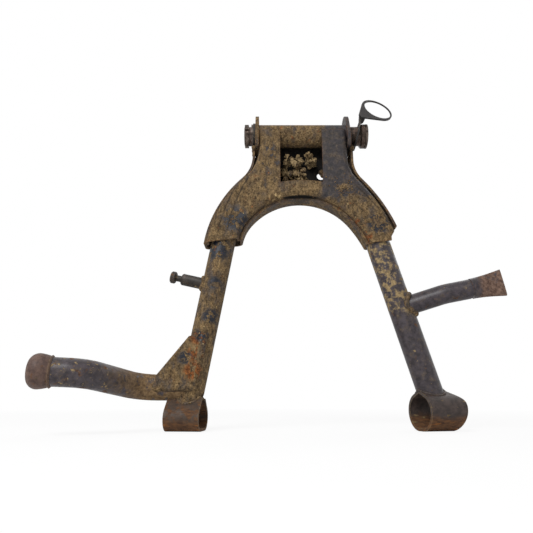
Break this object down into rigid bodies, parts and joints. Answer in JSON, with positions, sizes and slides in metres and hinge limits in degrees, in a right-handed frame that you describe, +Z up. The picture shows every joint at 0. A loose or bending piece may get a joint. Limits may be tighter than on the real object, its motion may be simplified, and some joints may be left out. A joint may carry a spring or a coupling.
{
  "type": "motorcycle centre stand",
  "caption": "Worn centre stand: pressed yoke on a pivot tube, splayed tube legs with looped feet, S-bent foot pedal and a flattened stop lever.",
  "frame": {"origin": "middle of the pivot axis, on the centre line of the motorcycle", "axes": "+X along the pivot axis to the side with the stop lever, +Y to the front of the motorcycle, +Z up, legs down"},
  "size_m": [0.4759, 0.1234, 0.3941],
  "materials": {
    "muddy_black_paint": "black paint under dried tan mud, with rust",
    "dark_worn_paint": "worn semi-gloss black paint with dust",
    "rusty_foot_steel": "scraped and rusted steel",
    "worn_sleeve_steel": "turned steel, browned and worn bright at its ends",
    "black_rubber": "dusty black rubber",
    "dark_plated_strap": "dulled dark plating"
  },
  "bodies": {
    "pivot_fixings": {"pivot_sleeve": "worn_sleeve_steel", "left_dust_ring": "black_rubber", "left_thrust_washer": "worn_sleeve_steel", "left_spring_ring": "worn_sleeve_steel", "right_end_washer": "worn_sleeve_steel", "hose_guide": "dark_plated_strap"},
    "stand": {"cross_tube": "muddy_black_paint", "left_cheek_plate": "muddy_black_paint", "right_cheek_plate": "dark_worn_paint", "yoke_rear_shell": "muddy_black_paint", "yoke_front_plate": "muddy_black_paint", "left_leg_tube": "muddy_black_paint", "right_leg_tube": "dark_worn_paint", "left_foot_loop": "rusty_foot_steel", "right_foot_loop": "rusty_foot_steel", "pedal_tube": "dark_worn_paint", "pedal_end_cap": "rusty_foot_steel", "front_gusset": "muddy_black_paint", "rear_gusset": "muddy_black_paint", "stop_lever": "dark_worn_paint", "spring_post": "dark_worn_paint"}
  },
  "joints": [
    {"name": "stand_pivot", "type": "hinge", "parent": "pivot_fixings", "child": "stand", "pos_m": [0, 0, 0], "axis": [1, 0, 0], "range_deg": [-95, 10]}
  ]
}
